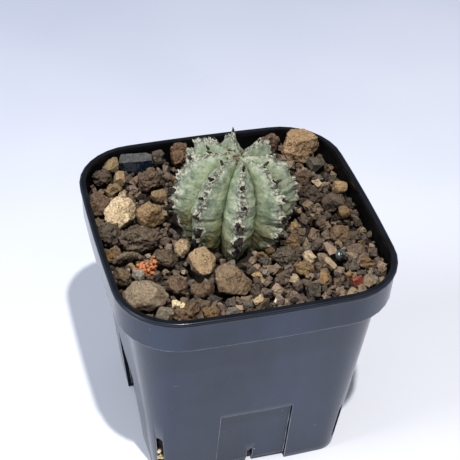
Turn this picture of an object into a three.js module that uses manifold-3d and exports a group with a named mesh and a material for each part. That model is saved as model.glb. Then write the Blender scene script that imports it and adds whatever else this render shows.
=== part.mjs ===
// Potted euphorbia: a globular, eight-ribbed succulent in a square plastic slit pot,
// bedded in a stony growing mix that is topped with loose pumice and lava stones.
// Millimetres, +Z up. The origin is under the middle of the pot, on the surface it stands on.
// The front of the pot faces -Y. Bearings are degrees anticlockwise from +X, seen from above.
import * as THREE from 'three';
import * as BufferGeometryUtils from 'three/addons/utils/BufferGeometryUtils.js';
import Module from 'manifold-3d';

const wasm = await Module();
wasm.setup();

const GAP = 0.3; // clearance between neighbouring pieces

// ---- pot ----
const POT_WIDTH = 90; // across the rim at the middle of two opposite sides
const POT_HEIGHT = 82;
const BASE_WIDTH = 64.4; // across the foot
const WALL = 1.2;
const SIDE_BOW = 0.45; // how far the middle of each side stands out
const RIM_CORNER = 20; // corner radii, outside
const BODY_TOP_CORNER = 15.5;
const BASE_CORNER = 7.3;

const COLLAR_HEIGHT = 11.7; // the band under the rim
const COLLAR_TAPER = 0.3; // how far each side of the collar draws in going down
const COLLAR_OVERHANG = 3.7; // how far the collar stands out past the body's top
const COLLAR_STEP = 1.2; // height of the sloping ledge under the collar
const RIM_BEAD_HEIGHT = 1.6;
const RIM_BEAD_WIDTH = 2.0;
const RIM_BEAD_OVERHANG = 0.5; // how far the bead stands out of the collar
const RIM_EDGE = 0.4; // bevel on the bead's edges

const FOOT_WIDTH = 2.4; // thickness of the standing ring under the pot
const FLOOR_UNDERSIDE = 2.0; // height of the floor plate's underside
const FLOOR_THICKNESS = 1.6;

const PANEL_WIDTH = 24; // recessed panel in the middle of each side
const PANEL_TOP = 29.8;
const PANEL_DEPTH = 1.6;
const ARCH_HEIGHT = 1.5; // gap under each panel, between the corner feet
const PANEL_SLOT_WIDTH = 1.9; // drain slot in each panel, open at the foot
const PANEL_SLOT_TOP = 7;
const PANEL_SLOT_REACH = 6; // how far the slot runs in under the pot
const CORNER_SLIT_WIDTH = 2.6; // slit in each corner
const CORNER_SLIT_BOTTOM = 4.2;
const CORNER_SLIT_TOP = 20;

// ---- growing mix ----
const MIX_BELOW_RIM = 7.5;

// ---- plant ----
const STEM_RADIUS = 19.9; // from the middle of the plant to a rib's crest
const STEM_MIDDLE_ABOVE_MIX = 11.8;
const STEM_PLACE = { x: 0.8, y: 3.4 };
const STEM_LEAN = 6.5; // degrees off upright
const STEM_LEAN_BEARING = 35;
const RIB_BEARINGS = [-102, -57, -12, 38, 88, 130, 171, 218]; // front rib first, going round
const GROOVE_DEPTH = 6.2;
const AREOLE_SPACING = 17.5; // degrees along a crest, seen from the plant's middle
const FIRST_AREOLE = 12; // degrees from the apex to the first areole
const TOOTH_HEIGHT = 0.8; // how far a crest swells at an areole
const CROWN_DIP = 2.4; // how far the growing point is sunk below a round top
const CROWN_SPREAD = 20; // degrees over which the dip fades
const ROOT_LENGTH = 9; // how far the root neck reaches below a round underside
const ROOT_SPREAD = 24; // degrees over which the neck widens into the stem

// ---- dry flower stalks that stay on the areoles ----
const STALK_LENGTH = 1.8;
const STALK_FOOT_RADIUS = 0.55;
const STALK_TIP_RADIUS = 0.25;

// ---- outline of the pot ----
const CORNER_STEPS = 8;
const SIDE_STEPS = 4;
const QUARTER_STEPS = CORNER_STEPS + SIDE_STEPS;
const OUTLINE_STEPS = 4 * QUARTER_STEPS;
const REACH = 200; // longer than any piece; for blocks that cut right through

// ---- levels and widths worked out from the sizes above ----
const COLLAR_BOTTOM = POT_HEIGHT - COLLAR_HEIGHT;
const BEAD_BOTTOM = POT_HEIGHT - RIM_BEAD_HEIGHT;
const FLOOR_TOP = FLOOR_UNDERSIDE + FLOOR_THICKNESS;
const MIX_TOP = POT_HEIGHT - MIX_BELOW_RIM;
const STONE_BASE = MIX_TOP + GAP;
const STEM_MIDDLE = new THREE.Vector3(STEM_PLACE.x, STEM_PLACE.y, MIX_TOP + STEM_MIDDLE_ABOVE_MIX);
const RIM_HALF = POT_WIDTH / 2;
const COLLAR_TOP_HALF = RIM_HALF - RIM_BEAD_OVERHANG;
const COLLAR_BOTTOM_HALF = COLLAR_TOP_HALF - COLLAR_TAPER;
const BODY_TOP_HALF = COLLAR_BOTTOM_HALF - COLLAR_OVERHANG;
const BASE_HALF = BASE_WIDTH / 2;
const BODY_TOP = COLLAR_BOTTOM - COLLAR_STEP;
const BODY_SLOPE = Math.atan((BODY_TOP_HALF - BASE_HALF) / BODY_TOP);

const degrees = (angle) => THREE.MathUtils.degToRad(angle);

// A number between 0 and 1 that looks random but is the same on every run.
function scatter(seed) {
  const value = Math.sin(seed * 12.9898 + 4.1414) * 43758.5453;
  return value - Math.floor(value);
}

// ---- solids and booleans ----

function toSolid(geometry) {
  const bare = geometry.clone();
  bare.deleteAttribute('normal');
  bare.deleteAttribute('uv');
  const welded = BufferGeometryUtils.mergeVertices(bare, 1e-4);
  const corners = welded.index.array;
  const triangles = [];
  for (let i = 0; i < corners.length; i += 3) {
    const [a, b, c] = corners.slice(i, i + 3);
    if (a !== b && b !== c && c !== a) triangles.push(a, b, c);
  }
  return new wasm.Manifold(new wasm.Mesh({
    numProp: 3,
    vertProperties: Float32Array.from(welded.attributes.position.array),
    triVerts: Uint32Array.from(triangles),
  }));
}

function toGeometry(solid) {
  const mesh = solid.getMesh();
  const geometry = new THREE.BufferGeometry();
  geometry.setAttribute('position', new THREE.BufferAttribute(mesh.vertProperties, 3));
  geometry.setIndex(new THREE.BufferAttribute(mesh.triVerts, 1));
  geometry.computeVertexNormals();
  return geometry;
}

function block(width, depth, height, x, y, z) {
  return new THREE.BoxGeometry(width, depth, height).translate(x, y, z);
}

// ---- pot shapes ----

// One point of a square outline with round corners and bowed sides.
function outlinePoint(step, half, corner) {
  const quarter = Math.floor(step / QUARTER_STEPS);
  const place = step % QUARTER_STEPS;
  const centre = half - SIDE_BOW - corner;
  const point = new THREE.Vector2();
  if (place < CORNER_STEPS) {
    const turn = (Math.PI / 2) * (place / CORNER_STEPS);
    point.set(centre + corner * Math.cos(turn), centre + corner * Math.sin(turn));
  } else {
    const along = 1 - 2 * ((place - CORNER_STEPS) / SIDE_STEPS);
    point.set(centre * along, half - SIDE_BOW * along * along);
  }
  return point.rotateAround(new THREE.Vector2(), (quarter * Math.PI) / 2);
}

// A profile spun round the axis and squared off. Each profile entry is
// { half, z, corner }: half-width, height and corner radius there.
function squaredLathe(profile) {
  const points = profile.map(({ half, z }) => new THREE.Vector2(half, z));
  const geometry = new THREE.LatheGeometry(points, OUTLINE_STEPS);
  const position = geometry.attributes.position;
  for (let i = 0; i < position.count; i += 1) {
    const step = Math.floor(i / profile.length) % OUTLINE_STEPS;
    const { half, z, corner } = profile[i % profile.length];
    const point = half > 0 ? outlinePoint(step, half, corner) : new THREE.Vector2();
    position.setXYZ(i, point.x, point.y, z);
  }
  return geometry;
}

function bodyHalf(z) {
  return BASE_HALF + Math.tan(BODY_SLOPE) * z;
}

function bodyCorner(z) {
  return BASE_CORNER + (BODY_TOP_CORNER - BASE_CORNER) * (z / BODY_TOP);
}

// The block of air in front of one recessed panel, on the -Y side, grown by a wall.
function panelBlock(grow) {
  const width = PANEL_WIDTH + 2 * grow;
  const top = PANEL_TOP + grow;
  const geometry = block(width, BASE_WIDTH, top + POT_HEIGHT, 0, -BASE_WIDTH / 2, (top - POT_HEIGHT) / 2);
  geometry.rotateX(BODY_SLOPE);
  geometry.translate(0, -(BASE_HALF - PANEL_DEPTH - grow), 0);
  return geometry;
}

function withoutPanels(solid, grow) {
  let rest = solid;
  for (let side = 0; side < 4; side += 1) {
    rest = rest.subtract(toSolid(panelBlock(grow).rotateZ((side * Math.PI) / 2)));
  }
  return rest;
}

function potOutside() {
  const profile = [
    { half: 0, z: 0, corner: 0 },
    { half: BASE_HALF, z: 0, corner: BASE_CORNER },
    { half: BODY_TOP_HALF, z: BODY_TOP, corner: BODY_TOP_CORNER },
    { half: COLLAR_BOTTOM_HALF, z: COLLAR_BOTTOM, corner: RIM_CORNER - RIM_BEAD_OVERHANG },
    { half: COLLAR_TOP_HALF, z: BEAD_BOTTOM, corner: RIM_CORNER - RIM_BEAD_OVERHANG },
    { half: RIM_HALF, z: BEAD_BOTTOM + RIM_EDGE, corner: RIM_CORNER },
    { half: RIM_HALF, z: POT_HEIGHT - RIM_EDGE, corner: RIM_CORNER },
    { half: RIM_HALF - RIM_EDGE, z: POT_HEIGHT, corner: RIM_CORNER - RIM_EDGE },
    { half: 0, z: POT_HEIGHT, corner: 0 },
  ];
  return withoutPanels(toSolid(squaredLathe(profile)), 0);
}

// The room inside the pot, kept clear of its walls and floor.
function potInside(clearance) {
  const wall = WALL + clearance;
  const bead = RIM_BEAD_WIDTH + clearance;
  const floor = FLOOR_TOP + clearance;
  const ledge = COLLAR_BOTTOM + WALL + clearance;
  const collarHalf = COLLAR_BOTTOM_HALF - wall;
  const profile = [
    { half: 0, z: floor, corner: 0 },
    { half: bodyHalf(floor) - wall, z: floor, corner: bodyCorner(floor) - wall },
    { half: BODY_TOP_HALF - wall, z: BODY_TOP + WALL, corner: BODY_TOP_CORNER - wall },
    { half: collarHalf, z: ledge, corner: RIM_CORNER - RIM_BEAD_OVERHANG - wall },
    { half: COLLAR_TOP_HALF - wall, z: BEAD_BOTTOM - WALL, corner: RIM_CORNER - RIM_BEAD_OVERHANG - wall },
    { half: RIM_HALF - bead, z: BEAD_BOTTOM, corner: RIM_CORNER - bead },
    { half: RIM_HALF - bead, z: POT_HEIGHT + RIM_BEAD_HEIGHT, corner: RIM_CORNER - bead },
    { half: 0, z: POT_HEIGHT + RIM_BEAD_HEIGHT, corner: 0 },
  ];
  return withoutPanels(toSolid(squaredLathe(profile)), WALL + clearance);
}

// A slot cutter with a round top and bottom, standing at x = 0 and running along -Y.
function slotCutter(width, bottom, top, from, to) {
  const radius = width / 2;
  const shape = new THREE.Shape();
  shape.absarc(0, bottom + radius, radius, Math.PI, 2 * Math.PI);
  shape.absarc(0, top - radius, radius, 0, Math.PI);
  const options = { depth: to - from, bevelEnabled: false, curveSegments: 4 };
  return new THREE.ExtrudeGeometry(shape, options).rotateX(Math.PI / 2).translate(0, -from, 0);
}

function underFloorHollow() {
  const half = BASE_HALF - FOOT_WIDTH;
  const corner = BASE_CORNER - FOOT_WIDTH;
  return squaredLathe([
    { half: 0, z: -FLOOR_UNDERSIDE, corner: 0 },
    { half, z: -FLOOR_UNDERSIDE, corner },
    { half, z: FLOOR_UNDERSIDE, corner },
    { half: 0, z: FLOOR_UNDERSIDE, corner: 0 },
  ]);
}

function pot() {
  let shell = potOutside().subtract(potInside(0)).subtract(toSolid(underFloorHollow()));
  const slotStart = BASE_HALF - PANEL_DEPTH - PANEL_SLOT_REACH;
  const slitStart = BASE_HALF;
  for (let side = 0; side < 4; side += 1) {
    const turn = (side * Math.PI) / 2;
    const arch = block(PANEL_WIDTH, RIM_HALF, 2 * ARCH_HEIGHT, 0, -BASE_HALF, 0);
    const slot = slotCutter(PANEL_SLOT_WIDTH, -PANEL_SLOT_TOP, PANEL_SLOT_TOP, slotStart, REACH);
    const slit = slotCutter(CORNER_SLIT_WIDTH, CORNER_SLIT_BOTTOM, CORNER_SLIT_TOP, slitStart, REACH);
    shell = shell.subtract(toSolid(arch.rotateZ(turn)));
    shell = shell.subtract(toSolid(slot.rotateZ(turn)));
    shell = shell.subtract(toSolid(slit.rotateZ(turn + Math.PI / 4)));
  }
  return shell;
}

// ---- plant ----

// Round the plant a place is given in ribs: 0 is the crest of the first rib, 0.5 the groove
// after it, 1 the crest of the second, and so on.
function bearingOf(ribs) {
  const count = RIB_BEARINGS.length;
  const rib = Math.floor(ribs) % count;
  const next = rib + 1 < count ? RIB_BEARINGS[rib + 1] : RIB_BEARINGS[0] + 360;
  return degrees(THREE.MathUtils.lerp(RIB_BEARINGS[rib], next, ribs - Math.floor(ribs)));
}

// How far the skin is from the plant's middle; down is the angle from the apex in radians.
function stemRadius(down, ribs) {
  const fromCrest = 2 * Math.abs(ribs - Math.round(ribs)); // 0 on a crest, 1 in a groove
  const relief = Math.pow(Math.abs(Math.sin(down)), 0.8); // the ribs run out at both ends
  const areoles = (THREE.MathUtils.radToDeg(down) - FIRST_AREOLE) / AREOLE_SPACING;
  const tooth = TOOTH_HEIGHT * Math.cos(2 * Math.PI * areoles) * (1 - fromCrest);
  const dip = CROWN_DIP * Math.exp(-Math.pow(down / degrees(CROWN_SPREAD), 2));
  const root = ROOT_LENGTH * Math.exp(-Math.pow((Math.PI - down) / degrees(ROOT_SPREAD), 2));
  return STEM_RADIUS + (tooth - GROOVE_DEPTH * fromCrest) * relief - dip + root;
}

const LEAN = new THREE.Quaternion().setFromAxisAngle(
  new THREE.Vector3(-Math.sin(degrees(STEM_LEAN_BEARING)), Math.cos(degrees(STEM_LEAN_BEARING)), 0),
  degrees(STEM_LEAN),
);

function stemPoint(down, ribs, outwards) {
  const reach = stemRadius(down, ribs) + outwards;
  const bearing = bearingOf(ribs);
  const point = new THREE.Vector3(Math.sin(down) * Math.cos(bearing), Math.sin(down) * Math.sin(bearing),
    Math.cos(down));
  return point.multiplyScalar(reach).applyQuaternion(LEAN).add(STEM_MIDDLE);
}

// The whole plant as one skin, grown outwards by a clearance when it makes room for itself.
function stem(outwards) {
  const stepsPerRib = 6;
  const columns = stepsPerRib * RIB_BEARINGS.length;
  const rows = 28;
  const geometry = new THREE.SphereGeometry(1, columns, rows);
  const position = geometry.attributes.position;
  for (let i = 0; i < position.count; i += 1) {
    const row = Math.floor(i / (columns + 1));
    const column = (i % (columns + 1)) % columns;
    const point = stemPoint((Math.PI * row) / rows, column / stepsPerRib, outwards);
    position.setXYZ(i, point.x, point.y, point.z);
  }
  return geometry;
}

// A dry stalk standing on an areole, square to the skin.
function dryStalk(rib, areole) {
  const foot = stemPoint(degrees(FIRST_AREOLE + areole * AREOLE_SPACING), rib, GAP);
  const outwards = foot.clone().sub(STEM_MIDDLE).normalize();
  const geometry = new THREE.CylinderGeometry(STALK_TIP_RADIUS, STALK_FOOT_RADIUS, STALK_LENGTH, 6);
  geometry.translate(0, STALK_LENGTH / 2, 0);
  geometry.applyQuaternion(new THREE.Quaternion().setFromUnitVectors(new THREE.Vector3(0, 1, 0), outwards));
  return geometry.translate(foot.x, foot.y, foot.z);
}

const STALKS = [
  { rib: 0, areoles: [1, 2, 3, 4] },
  { rib: 1, areoles: [1, 2, 3] },
  { rib: 6, areoles: [1, 2] },
  { rib: 7, areoles: [1, 2, 3] },
];

// ---- stones ----

// Each stone: its name, its bearing from the plant, how far out it lies between touching the
// plant's foot (0) and touching the pot's wall (1), its length, breadth and height, the
// bearing of its length, and its colour.
const STONES = [
  ['pumice_cream', 165, 0.82, 10.5, 9.5, 8.5, 150, 0xcdb48a],
  ['pumice_sandy', 164, 0.32, 8.5, 7.5, 7.5, 120, 0xa08660],
  ['lava_left_rim', 158, 1.02, 7.5, 6.5, 6.5, 80, 0x6d5646],
  ['lava_left_dark', 178, 1.01, 7.5, 6.5, 6.0, 20, 0x4d443c],
  ['scoria_rough', 187, 0.58, 11.5, 7.5, 7.5, 170, 0x544a3c],
  ['ochre_porous', 191, 1.01, 5.0, 4.6, 4.6, 60, 0x7e6036],
  ['coral_crumb', 205, 0.63, 7.5, 4.4, 4.2, 160, 0xb2603c],
  ['root_scrap', 196, 0.90, 7.5, 1.8, 2.0, 20, 0x8a6f52],
  ['chip_grey_green', 208, 0.75, 4.4, 4.0, 4.4, 90, 0x77796a],
  ['stone_front_left', 220, 0.92, 12.5, 10.0, 8.5, 170, 0x8a745a],
  ['lava_left_low', 205, 0.99, 6.0, 6.0, 5.5, 100, 0x6b5843],
  ['stone_olive', 230, 0.88, 6.0, 5.0, 5.0, 150, 0x6d6553],
  ['lava_front_rim', 237, 0.86, 7.5, 6.5, 6.0, 30, 0x705843],
  ['ochre_front_rim', 246, 0.86, 5.4, 4.8, 4.8, 170, 0x765c3d],
  ['pumice_by_stem', 231, 0.12, 9.5, 8.5, 8.0, 40, 0xa88c62],
  ['wedge_front', 253, 0.46, 11.5, 10.0, 8.0, 10, 0x86694a],
  ['tan_by_stem', 207, 0.10, 5.6, 5.2, 5.6, 60, 0x8f7350],
  ['lava_middle_left', 207, 0.36, 6.8, 6.0, 5.6, 130, 0x5f4f3f],
  ['lava_left_front', 227, 0.52, 6.5, 6.0, 6.0, 100, 0x6f5a48],
  ['lava_front', 239, 0.50, 6.5, 5.0, 5.0, 160, 0x6a5440],
  ['chip_grey', 124, 0.97, 7.6, 5.4, 7.2, 165, 0x5d5a50],
  ['ochre_wedge', 137, 0.80, 5.6, 5.0, 6.0, 45, 0x93703f],
  ['block_tan', 133, 1.01, 5.6, 4.6, 6.8, 170, 0x917a58],
  ['lava_back_left', 140, 1.00, 6.0, 4.6, 6.0, 170, 0x54463a],
  ['chip_tan', 145, 0.79, 6.0, 4.2, 4.4, 160, 0x8d7653],
  ['lava_back_large', 131, 0.51, 7.0, 7.5, 7.0, 100, 0x665243],
  ['pumice_small', 138, 0.28, 5.8, 4.2, 4.4, 170, 0x8f7148],
  ['lava_back_rim', 104, 1.00, 6.4, 5.4, 7.8, 30, 0x735743],
  ['pebble_round', 114, 0.99, 4.6, 4.4, 6.6, 0, 0x55504b],
  ['stone_back_right', 44, 1.00, 12.4, 10.0, 12.5, 150, 0x9c835a],
  ['flat_chip', 33, 0.87, 7.8, 4.6, 5.0, 0, 0x625c50],
  ['lava_right_back', 29, 0.54, 6.6, 5.6, 5.6, 10, 0x62503f],
  ['lava_right_dark', 12, 0.41, 7.2, 6.4, 6.4, 130, 0x4c4038],
  ['stone_mauve', 3, 0.75, 7.6, 5.4, 5.6, 160, 0x6c5c52],
  ['sliver_peach', 13, 0.99, 6.4, 3.0, 4.6, 165, 0xb4956d],
  ['pebble_tan', 354, 0.84, 4.6, 4.4, 5.4, 50, 0x8c7350],
  ['lava_by_stem', 315, 0.08, 5.6, 5.2, 5.8, 60, 0x7b6249],
  ['grey_by_stem', 297, 0.16, 6.8, 5.4, 5.6, 170, 0x5c5348],
  ['tan_front_right', 299, 0.41, 6.0, 5.0, 5.0, 150, 0x846a48],
  ['sliver_mauve', 327, 0.82, 8.4, 3.6, 4.6, 170, 0x756253],
  ['chip_red', 309, 0.84, 4.4, 4.0, 4.6, 40, 0x8e4a38],
  ['bead_glassy', 317, 0.58, 3.2, 3.2, 4.6, 0, 0x2f3230],
  ['lava_back_middle', 58, 0.97, 6.2, 5.2, 7.4, 160, 0x6d5545],
  ['lava_right_front', 336, 0.63, 6.6, 5.6, 5.2, 20, 0x79624a],
];
const STONE_ROUGHNESS = 0.28; // how far a stone's corners wander, as a share of its size
const LARGE_STONE = 6.2; // stones longer than this have a finer surface

// How far the pot's inner wall is from the plant's middle in a flat direction, at stone height.
function wallDistance(away) {
  const half = COLLAR_BOTTOM_HALF - WALL - GAP;
  const corner = RIM_CORNER - RIM_BEAD_OVERHANG - WALL - GAP;
  let distance = 0;
  for (let step = 0; step < OUTLINE_STEPS; step += 1) {
    const start = outlinePoint(step, half, corner);
    const along = outlinePoint((step + 1) % OUTLINE_STEPS, half, corner).sub(start);
    start.sub(STEM_MIDDLE);
    const share = start.cross(away) / away.cross(along);
    const reach = start.cross(along) / away.cross(along);
    if (share >= 0 && share <= 1 && reach > 0) distance = reach;
  }
  return distance;
}

// Where the plant's skin meets the mix, on average round the plant.
const STEM_FOOT_RADIUS = Math.sqrt(STEM_RADIUS ** 2 - STEM_MIDDLE_ABOVE_MIX ** 2);

// How far a stone reaches from its middle in a flat direction.
function reachTowards(stone, direction) {
  const angle = Math.atan2(direction.y, direction.x) - stone.turn;
  return 1 / Math.hypot(Math.cos(angle) / stone.half.x, Math.sin(angle) / stone.half.y);
}

function layOut([name, bearing, out, length, breadth, height, turn, colour], index) {
  const stone = {
    name,
    colour,
    half: new THREE.Vector3(length / 2, breadth / 2, height / 2),
    turn: degrees(turn),
    seed: index + 1,
  };
  const away = new THREE.Vector2(Math.cos(degrees(bearing)), Math.sin(degrees(bearing)));
  const reach = reachTowards(stone, away);
  const distance = THREE.MathUtils.lerp(STEM_FOOT_RADIUS + reach, wallDistance(away) - reach, out);
  const place = away.multiplyScalar(distance).add(STEM_MIDDLE);
  stone.middle = new THREE.Vector3(place.x, place.y, STONE_BASE + stone.half.z);
  return stone;
}

function stoneGeometry({ middle, half, turn, seed }) {
  const detail = 2 * half.x > LARGE_STONE ? 1 : 0;
  const base = detail ? new THREE.IcosahedronGeometry(1, 1) : new THREE.DodecahedronGeometry(1, 0);
  const position = base.attributes.position;
  const point = new THREE.Vector3();
  for (let i = 0; i < position.count; i += 1) {
    point.fromBufferAttribute(position, i);
    const key = Math.round(7 * point.x + 11 * point.y + 13 * point.z + 31 * (point.x * point.y - point.z));
    point.multiplyScalar(1 + STONE_ROUGHNESS * (scatter(17 * seed + key) - 0.6));
    position.setXYZ(i, point.x * half.x, point.y * half.y, point.z * half.z);
  }
  return base.rotateZ(turn).translate(middle.x, middle.y, middle.z);
}

// Neighbouring stones meet at a flat face between them, half the clearance back from it.
function cutByNeighbours(stone, solid, stones) {
  let rest = solid;
  for (const other of stones) {
    if (other === stone) continue;
    const towards = other.middle.clone().sub(stone.middle).setZ(0);
    const distance = towards.length();
    towards.normalize();
    const own = reachTowards(stone, towards);
    const others = reachTowards(other, towards);
    if (distance > own + others + GAP) continue;
    const face = (distance * own) / (own + others) - GAP / 2;
    const cutter = block(REACH, REACH, REACH, face + REACH / 2, 0, 0);
    cutter.rotateZ(Math.atan2(towards.y, towards.x)).translate(stone.middle.x, stone.middle.y, 0);
    rest = rest.subtract(toSolid(cutter));
  }
  return rest;
}

// ---- assembly ----

const object = new THREE.Group();

function addPiece(name, geometry, colour, roughness) {
  const material = new THREE.MeshStandardMaterial({ color: colour, roughness, metalness: 0 });
  const mesh = new THREE.Mesh(geometry, material);
  mesh.name = name;
  object.add(mesh);
}

addPiece('pot', toGeometry(pot()), 0x2c303a, 0.45);

const underSurface = toSolid(block(REACH, REACH, REACH, 0, 0, MIX_TOP - REACH / 2));
const overSurface = toSolid(block(REACH, REACH, REACH, 0, 0, STONE_BASE + REACH / 2));
const room = potInside(GAP);
const stemRoom = toSolid(stem(GAP));
addPiece('growing_mix', toGeometry(room.intersect(underSurface).subtract(stemRoom)), 0x4a3d31, 0.95);
addPiece('euphorbia_stem', toGeometry(toSolid(stem(0))), 0x8fa08a, 0.8);

let stalkCount = 0;
for (const { rib, areoles } of STALKS) {
  for (const areole of areoles) {
    stalkCount += 1;
    addPiece(`dry_stalk_${stalkCount}`, dryStalk(rib, areole), 0x2a211c, 0.9);
  }
}

const stones = STONES.map(layOut);
for (const stone of stones) {
  const whole = toSolid(stoneGeometry(stone)).intersect(room).intersect(overSurface).subtract(stemRoom);
  addPiece(stone.name, toGeometry(cutByNeighbours(stone, whole, stones)), stone.colour, 0.92);
}

export default object;
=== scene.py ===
# Potted euphorbia: a ribbed globular succulent in a square slit pot of dark plastic,
# bedded in gritty mix under a dressing of loose pumice and lava stones.
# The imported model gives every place. New pieces are in metres, with +Z up.
import math
import random

import bmesh
import bpy
import numpy as np
from mathutils import Matrix, Quaternion, Vector, noise
from mathutils.bvhtree import BVHTree


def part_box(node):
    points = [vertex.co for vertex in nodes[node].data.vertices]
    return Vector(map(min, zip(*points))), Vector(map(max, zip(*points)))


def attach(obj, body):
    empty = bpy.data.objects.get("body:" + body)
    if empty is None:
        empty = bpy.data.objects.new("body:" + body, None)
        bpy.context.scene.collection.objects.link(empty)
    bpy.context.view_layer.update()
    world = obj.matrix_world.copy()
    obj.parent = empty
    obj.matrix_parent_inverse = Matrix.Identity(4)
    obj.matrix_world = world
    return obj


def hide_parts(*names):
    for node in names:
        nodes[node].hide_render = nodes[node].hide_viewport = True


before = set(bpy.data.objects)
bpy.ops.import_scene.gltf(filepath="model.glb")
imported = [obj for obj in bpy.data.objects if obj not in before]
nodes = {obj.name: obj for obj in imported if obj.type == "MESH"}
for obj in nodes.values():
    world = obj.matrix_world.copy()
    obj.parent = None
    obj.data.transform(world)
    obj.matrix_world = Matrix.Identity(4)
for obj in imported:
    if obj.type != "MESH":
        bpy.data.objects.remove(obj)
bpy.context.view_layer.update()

MM = 0.001


# ---- colours ----

def linear(colour):
    """A colour written as 0xRRGGBB, as the linear values that shaders take."""
    channels = [(colour >> shift & 255) / 255 for shift in (16, 8, 0)]
    return [c / 12.92 if c <= 0.04045 else ((c + 0.055) / 1.055) ** 2.4 for c in channels] + [1.0]


def shaded(colour, factor):
    return [c * factor for c in colour[:3]] + [1.0]


# ---- shader nodes ----

class Tree:
    """Adds nodes to one node tree. Inputs are given by name or number, as values or sockets."""

    def __init__(self, tree):
        self.tree = tree

    def add(self, kind, inputs=(), **settings):
        node = self.tree.nodes.new(kind)
        for name, value in settings.items():
            setattr(node, name, value)
        for name, value in dict(inputs).items():
            self.feed(node.inputs[name], value)
        return node

    def feed(self, socket, value):
        if isinstance(value, bpy.types.NodeSocket):
            self.tree.links.new(value, socket)
        else:
            socket.default_value = value

    def place(self):
        return self.add("ShaderNodeTexCoord").outputs["Object"]

    def stretched(self, vector, scale):
        return self.add("ShaderNodeMapping", {"Vector": vector, "Scale": scale}).outputs["Vector"]

    def noise(self, vector, scale, detail=4.0, roughness=0.6, distortion=0.0):
        inputs = {"Vector": vector, "Scale": scale, "Detail": detail, "Roughness": roughness,
                  "Distortion": distortion}
        return self.add("ShaderNodeTexNoise", inputs).outputs["Fac"]

    def cells(self, vector, scale, feature="F1", output="Distance"):
        inputs = {"Vector": vector, "Scale": scale}
        return self.add("ShaderNodeTexVoronoi", inputs, feature=feature).outputs[output]

    def math(self, operation, a, b=0.0, clamp=False):
        settings = {"operation": operation, "use_clamp": clamp}
        return self.add("ShaderNodeMath", {0: a, 1: b}, **settings).outputs[0]

    def remap(self, value, low, high, to_low=0.0, to_high=1.0):
        inputs = {"Value": value, "From Min": low, "From Max": high, "To Min": to_low,
                  "To Max": to_high}
        return self.add("ShaderNodeMapRange", inputs).outputs["Result"]

    def mix(self, factor, a, b, blend="MIX"):
        settings = {"data_type": "RGBA", "blend_type": blend}
        return self.add("ShaderNodeMix", {0: factor, 6: a, 7: b}, **settings).outputs[2]

    def attribute(self, name):
        return self.add("ShaderNodeAttribute", attribute_name=name).outputs["Fac"]

    def bump(self, height, distance, strength=1.0):
        inputs = {"Height": height, "Distance": distance, "Strength": strength}
        return self.add("ShaderNodeBump", inputs).outputs["Normal"]

    def group(self, group, inputs):
        return self.add("ShaderNodeGroup", inputs, node_tree=group).outputs


def new_group(name, inputs, outputs):
    """An empty shader node group, whose sockets are all numbers: inputs by name and default value,
    outputs by name."""
    group = bpy.data.node_groups.new(name, "ShaderNodeTree")
    number = {"socket_type": "NodeSocketFloat"}
    for socket, default in inputs.items():
        group.interface.new_socket(socket, in_out="INPUT", **number).default_value = default
    for socket in outputs:
        group.interface.new_socket(socket, in_out="OUTPUT", **number)
    tree = Tree(group)
    return group, tree, tree.add("NodeGroupInput").outputs, tree.add("NodeGroupOutput").inputs


def new_material(name):
    material = bpy.data.materials.new(name)
    material.use_nodes = True
    tree = Tree(material.node_tree)
    return material, tree, material.node_tree.nodes["Principled BSDF"].inputs


def make_pitted_grain():
    """Mineral grain with open pores: a mottle, a mask of the pores, and a height for bump."""
    inputs = {"Grain Scale": 1500.0, "Pore Scale": 900.0, "Pore Size": 0.3}
    outputs = ["Mottle", "Speckle", "Pores", "Height"]
    group, tree, given, result = new_group("pitted_grain", inputs, outputs)
    place = tree.place()
    mottle = tree.noise(place, 260.0, 5.0)
    speckle = tree.noise(place, given["Grain Scale"], 6.0, 0.75)
    warp = tree.add("ShaderNodeTexNoise", {"Vector": place, "Scale": 500.0}).outputs["Color"]
    inputs = {0: 0.6 * MM, 4: place, 5: warp}
    warped = tree.add("ShaderNodeMix", inputs, data_type="VECTOR").outputs[1]
    cells = tree.cells(warped, given["Pore Scale"])
    low = tree.math("MULTIPLY", given["Pore Size"], 0.6)
    pores = tree.remap(cells, low, given["Pore Size"], 1.0, 0.0)
    patchy = tree.remap(tree.noise(place, 350.0, 2.0), 0.42, 0.6)
    pores = tree.math("MULTIPLY", pores, patchy)
    height = tree.math("SUBTRACT", speckle, tree.math("MULTIPLY", pores, 0.9))
    tree.feed(result["Mottle"], tree.remap(mottle, 0.3, 0.7))
    tree.feed(result["Speckle"], tree.remap(speckle, 0.3, 0.7))
    tree.feed(result["Pores"], pores)
    tree.feed(result["Height"], height)
    return group


def make_dust_and_side_shade():
    """Pale dust in patches on what faces up, and painted shade that darkens the sides and
    undersides.
    """
    inputs = {"Scale": 400.0, "Dust Amount": 0.5, "Side Shade Amount": 0.6}
    group, tree, given, result = new_group("dust_and_side_shade", inputs, ["Dust", "Side Shade"])
    normal = tree.add("ShaderNodeNewGeometry").outputs["Normal"]
    up = tree.add("ShaderNodeSeparateXYZ", {0: normal}).outputs["Z"]
    facing_up = tree.remap(up, 0.1, 0.95)
    patches = tree.remap(tree.noise(tree.place(), given["Scale"], 5.0, 0.7), 0.4, 0.65)
    dust = tree.math("MULTIPLY", facing_up, patches)
    tree.feed(result["Dust"], tree.math("MULTIPLY", dust, given["Dust Amount"]))
    # painted shade: darker the less a face turns up
    side_shade = tree.remap(up, -0.15, 0.5, 1.0, 0.0)
    tree.feed(result["Side Shade"], tree.math("MULTIPLY", side_shade, given["Side Shade Amount"]))
    return group


pitted_grain = make_pitted_grain()
dust_and_side_shade = make_dust_and_side_shade()


# ---- finishes ----

DUST = shaded(linear(0xB5A388), 0.8)
GRAIN_BUMP = 0.36 * MM


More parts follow.
